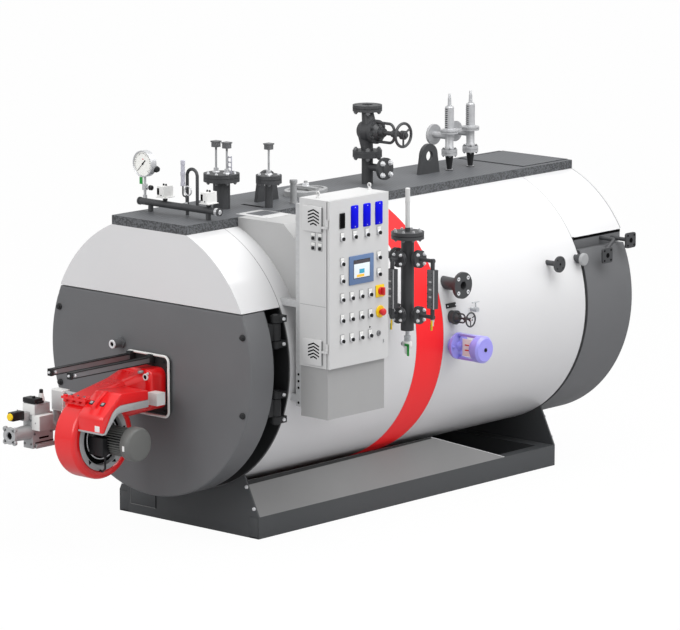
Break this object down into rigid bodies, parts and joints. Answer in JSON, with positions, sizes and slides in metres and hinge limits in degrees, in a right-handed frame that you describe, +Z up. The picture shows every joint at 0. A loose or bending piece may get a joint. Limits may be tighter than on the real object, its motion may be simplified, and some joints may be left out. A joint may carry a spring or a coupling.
{
  "type": "packaged fire-tube steam boiler with burner",
  "caption": "Horizontal fire-tube steam boiler on a base frame, with hinged burner door, forced-draught burner, control cabinet, crown walkway, valves and level column.",
  "frame": {"origin": "on the floor, under the middle of the base frame's middle cross member", "axes": "+Z up, -Y towards the burner door, +X towards the control cabinet"},
  "size_m": [2.0543, 4.431, 2.4127],
  "materials": {
    "white_paint": "gloss",
    "red_band": "gloss",
    "door_grey": "satin",
    "base_grey": "satin",
    "black_steel": "matt",
    "boiler_plate": "mill scale",
    "refractory": "rough ceramic",
    "walkway": "textured",
    "burner_red": "gloss",
    "motor_grey": "satin",
    "cast_alloy": "as cast",
    "pale_plastic": "moulded",
    "cabinet_paint": "textured powder coat",
    "galvanised": "galvanised",
    "black_iron": "painted casting",
    "fitting_grey": "satin",
    "stainless": "machined",
    "violet_paint": "gloss",
    "black_plastic": "moulded",
    "yellow_plastic": "moulded"
  },
  "bodies": {
    "boiler": {"base_rails": "base_grey", "base_cross_members": "base_grey", "saddle_plates": "base_grey", "base_skirts": "base_grey", "pressure_shell": "boiler_plate", "front_tube_plate": "boiler_plate", "rear_tube_plate": "boiler_plate", "furnace_tube": "boiler_plate", "smoke_tubes": "boiler_plate", "front_collar": "black_steel", "casing_front": "white_paint", "casing_band": "red_band", "casing_rear": "white_paint", "front_hood": "white_paint", "rear_smokebox": "door_grey", "rear_hood": "white_paint", "flue_collar": "door_grey", "top_platform": "walkway", "door_hinge_brackets": "black_steel", "cabinet_body": "cabinet_paint", "cabinet_uprights": "galvanised", "cabinet_plinth": "cabinet_paint", "cable_duct": "cabinet_paint", "crown_handhole": "fitting_grey", "vent_stub": "fitting_grey", "gauge_header": "black_iron", "pressure_gauge": "stainless", "pressure_switches": "pale_plastic", "siphon_pipes": "black_iron", "electrode_pots": "black_iron", "electrode_heads": "galvanised", "lifting_lugs": "black_iron", "steam_riser": "black_iron", "crown_valve": "black_iron", "safety_valves": "stainless", "feed_nozzle": "black_iron", "shutoff_valve": "black_iron", "blowdown_valve": "violet_paint", "level_column": "black_iron", "gauge_glasses": "black_iron", "sampling_cocks": "galvanised", "rear_nozzles": "black_iron"},
    "burner_door": {"front_door": "door_grey", "door_lining": "refractory", "door_hinge_leaves": "black_steel", "sight_glass": "galvanised", "burner_flange": "black_steel", "burner_casing": "burner_red", "burner_motor": "motor_grey", "burner_cover": "burner_red", "burner_servo": "pale_plastic", "burner_slide_bars": "black_steel", "gas_train": "cast_alloy"},
    "panel_door": {"cabinet_door": "cabinet_paint", "door_displays": "black_plastic", "door_switches": "black_plastic", "main_switches": "yellow_plastic"},
    "crown_wheel": {"crown_handwheel": "black_iron"},
    "shutoff_wheel": {"shutoff_handwheel": "black_iron"}
  },
  "joints": [
    {"name": "burner_door_hinge", "type": "hinge", "parent": "boiler", "child": "burner_door", "pos_m": [0.79, -1.4615, 1.076], "axis": [0, 0, 1], "range_deg": [0, 90]},
    {"name": "panel_door_hinge", "type": "hinge", "parent": "boiler", "child": "panel_door", "pos_m": [1.128, -1.386, 1.607], "axis": [0, 0, -1], "range_deg": [0, 110]},
    {"name": "crown_wheel_turn", "type": "hinge", "parent": "boiler", "child": "crown_wheel", "pos_m": [0.3, 0.234, 2.2477], "axis": [1, 0, 0], "range_deg": [0, 1620]},
    {"name": "shutoff_wheel_turn", "type": "hinge", "parent": "boiler", "child": "shutoff_wheel", "pos_m": [0.985, 0.085, 1.186], "axis": [1, 0, 0], "range_deg": [0, 1260]}
  ]
}
